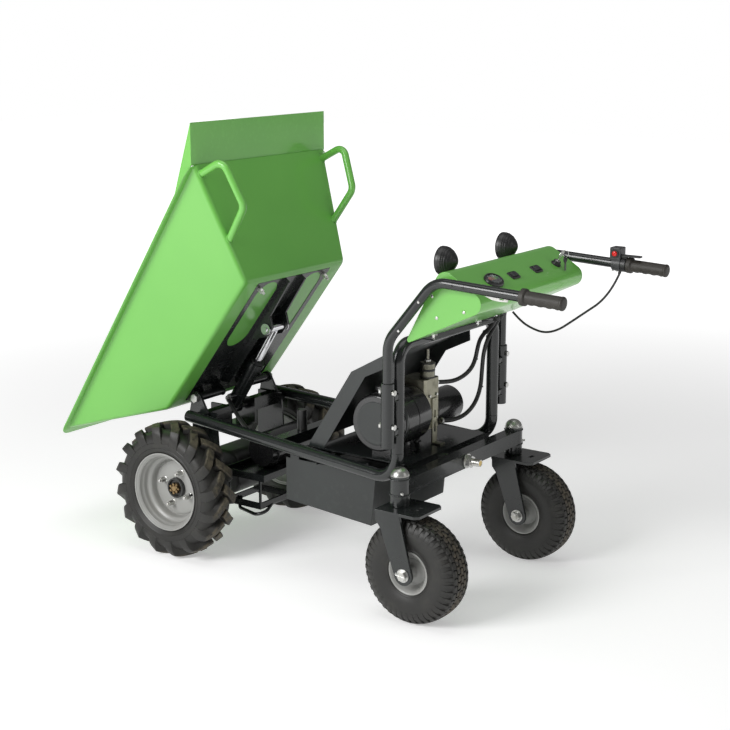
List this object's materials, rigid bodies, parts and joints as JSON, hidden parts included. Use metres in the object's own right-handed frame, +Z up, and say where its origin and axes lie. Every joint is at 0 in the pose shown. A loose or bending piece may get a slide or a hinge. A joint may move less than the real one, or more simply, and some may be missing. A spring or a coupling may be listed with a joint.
{
  "type": "power wheelbarrow",
  "caption": "Battery power wheelbarrow: hydraulic tipping tub, driven front wheels, rocking rear beam with swivel casters, hooped frame and handlebar console.",
  "frame": {"origin": "on the ground below the middle of the front axle", "axes": "+X forward over the tub's tipping end, +Y the machine's left, +Z up"},
  "size_m": [1.6768, 0.7265, 1.2402],
  "materials": {
    "green_paint": "gloss",
    "black_paint": "gloss",
    "satin_panel": "satin",
    "rim_silver": "satin",
    "zinc": "satin",
    "chrome_rod": "polished",
    "steel_cap": "polished",
    "drive_tyre": "matt, dusty lugs",
    "caster_tyre": "matt",
    "grip_rubber": "satin",
    "black_plastic": "satin",
    "hose_rubber": "satin",
    "cast_block": "satin",
    "motor_black": "satin",
    "red_plastic": "gloss",
    "hub_iron": "satin"
  },
  "bodies": {
    "chassis": {"rail_left": "black_paint", "rail_right": "black_paint", "rear_hoop": "black_paint", "front_frame": "black_paint", "frame_crossbars": "black_paint", "deck_plate": "black_paint", "hood_cover": "satin_panel", "battery_box": "satin_panel", "batteries": "black_plastic", "motor_tray": "black_paint", "transaxle": "hub_iron", "drive_motor": "motor_black", "power_pack": "motor_black", "pump_manifold": "cast_block", "tub_stop": "hose_rubber", "handle_left": "black_paint", "handle_right": "black_paint", "handle_grips": "grip_rubber", "console_shell": "green_paint", "console_ends": "green_paint", "battery_gauge": "black_plastic", "key_switch": "black_plastic", "switch_box": "black_plastic", "hinge_pins": "zinc", "light_brackets": "black_paint", "frame_bolts": "zinc", "throttle_cable": "hose_rubber", "hydraulic_hoses": "hose_rubber"},
    "tub": {"tub_shell": "green_paint", "tub_fence": "green_paint", "tub_handles": "green_paint", "tub_subframe": "black_paint", "tub_bolts": "zinc"},
    "lift_barrel": {"lift_barrel": "black_paint"},
    "lift_rod": {"lift_rod": "chrome_rod"},
    "rear_beam": {"rear_beam": "black_paint", "post_caps": "steel_cap"},
    "rocker_front": {"rocker_front": "black_plastic"},
    "rocker_rear": {"rocker_rear": "black_plastic"},
    "ignition_key": {"ignition_key": "zinc"},
    "spare_key": {"spare_key": "black_plastic"},
    "stop_button": {"stop_button": "red_plastic"},
    "throttle_lever": {"throttle_lever": "black_plastic"},
    "brake_lever": {"brake_lever": "zinc"},
    "drive_wheel_left": {"drive_tyre_left": "drive_tyre", "drive_rim_left": "rim_silver", "drive_hub_left": "zinc"},
    "caster_left": {"caster_fork_left": "black_paint", "caster_axle_left": "zinc"},
    "caster_wheel_left": {"caster_tyre_left": "caster_tyre", "caster_rim_left": "rim_silver"},
    "work_light_left": {"work_light_left": "black_plastic"},
    "drive_wheel_right": {"drive_tyre_right": "drive_tyre", "drive_rim_right": "rim_silver", "drive_hub_right": "zinc"},
    "caster_right": {"caster_fork_right": "black_paint", "caster_axle_right": "zinc"},
    "caster_wheel_right": {"caster_tyre_right": "caster_tyre", "caster_rim_right": "rim_silver"},
    "work_light_right": {"work_light_right": "black_plastic"}
  },
  "joints": [
    {"name": "tub_tip", "type": "hinge", "parent": "chassis", "child": "tub", "pos_m": [0.005, 0, 0.44], "axis": [0, 1, 0], "range_deg": [-56, 0]},
    {"name": "lift_swing", "type": "hinge", "parent": "chassis", "child": "lift_barrel", "pos_m": [0.012, 0, 0.373], "axis": [0, 1, 0], "range_deg": [-49, 0.5]},
    {"name": "lift_stroke", "type": "slide", "parent": "lift_barrel", "child": "lift_rod", "axis": [-0.5379, 0, 0.843], "range_m": [-0.048, 0.001]},
    {"name": "beam_rock", "type": "hinge", "parent": "chassis", "child": "rear_beam", "pos_m": [-0.794, 0, 0.352], "axis": [1, 0, 0], "range_deg": [-6, 6]},
    {"name": "drive_spin_left", "type": "hinge", "parent": "chassis", "child": "drive_wheel_left", "pos_m": [0, 0.268, 0.195], "axis": [0, 1, 0], "continuous": true},
    {"name": "caster_swivel_left", "type": "hinge", "parent": "rear_beam", "child": "caster_left", "pos_m": [-0.791, 0.288, 0.34], "axis": [0, 0, 1], "continuous": true},
    {"name": "caster_spin_left", "type": "hinge", "parent": "caster_left", "child": "caster_wheel_left", "pos_m": [-0.843, 0.288, 0.14], "axis": [0, 1, 0], "continuous": true},
    {"name": "light_tilt_left", "type": "hinge", "parent": "chassis", "child": "work_light_left", "pos_m": [-0.8636, 0.15, 0.8832], "axis": [0, 1, 0], "range_deg": [-15, 20]},
    {"name": "drive_spin_right", "type": "hinge", "parent": "chassis", "child": "drive_wheel_right", "pos_m": [0, -0.268, 0.195], "axis": [0, 1, 0], "continuous": true},
    {"name": "caster_swivel_right", "type": "hinge", "parent": "rear_beam", "child": "caster_right", "pos_m": [-0.791, -0.288, 0.34], "axis": [0, 0, 1], "continuous": true},
    {"name": "caster_spin_right", "type": "hinge", "parent": "caster_right", "child": "caster_wheel_right", "pos_m": [-0.843, -0.288, 0.14], "axis": [0, 1, 0], "continuous": true},
    {"name": "light_tilt_right", "type": "hinge", "parent": "chassis", "child": "work_light_right", "pos_m": [-0.8636, -0.15, 0.8832], "axis": [0, 1, 0], "range_deg": [-15, 20]},
    {"name": "rocker_front_press", "type": "hinge", "parent": "chassis", "child": "rocker_front", "pos_m": [-0.96757, 0.041, 0.87692], "axis": [-0.8588, 0, -0.5123], "range_deg": [-8, 8]},
    {"name": "rocker_rear_press", "type": "hinge", "parent": "chassis", "child": "rocker_rear", "pos_m": [-0.96757, -0.076, 0.87692], "axis": [-0.8588, 0, -0.5123], "range_deg": [-8, 8]},
    {"name": "key_turn", "type": "hinge", "parent": "chassis", "child": "ignition_key", "pos_m": [-0.96757, -0.182, 0.87692], "axis": [-0.5123, 0, 0.8588], "range_deg": [0, 60]},
    {"name": "spare_key_swing", "type": "hinge", "parent": "ignition_key", "child": "spare_key", "pos_m": [-0.9958, -0.182, 0.8985], "axis": [1, 0, 0], "range_deg": [-25, 25]},
    {"name": "stop_press", "type": "slide", "parent": "chassis", "child": "stop_button", "axis": [0, -1, 0], "range_m": [0, 0.004], "stiffness_N_per_m": 600},
    {"name": "throttle_push", "type": "hinge", "parent": "chassis", "child": "throttle_lever", "pos_m": [-1.12, -0.282, 0.87635], "axis": [-0.999, 0, -0.0453], "range_deg": [0, 30], "stiffness_Nm_per_rad": 0.4, "springref_deg": -11.46},
    {"name": "brake_squeeze", "type": "hinge", "parent": "chassis", "child": "brake_lever", "pos_m": [-1.012, 0.266, 0.88124], "axis": [0, 1, 0], "range_deg": [0, 14], "stiffness_Nm_per_rad": 1.5, "springref_deg": -8.59}
  ],
  "couplings": [
    {"joint": "lift_swing", "follows": "tub_tip", "ratio": 0.8475},
    {"joint": "lift_stroke", "follows": "tub_tip", "m_per_rad": 0.0475}
  ]
}
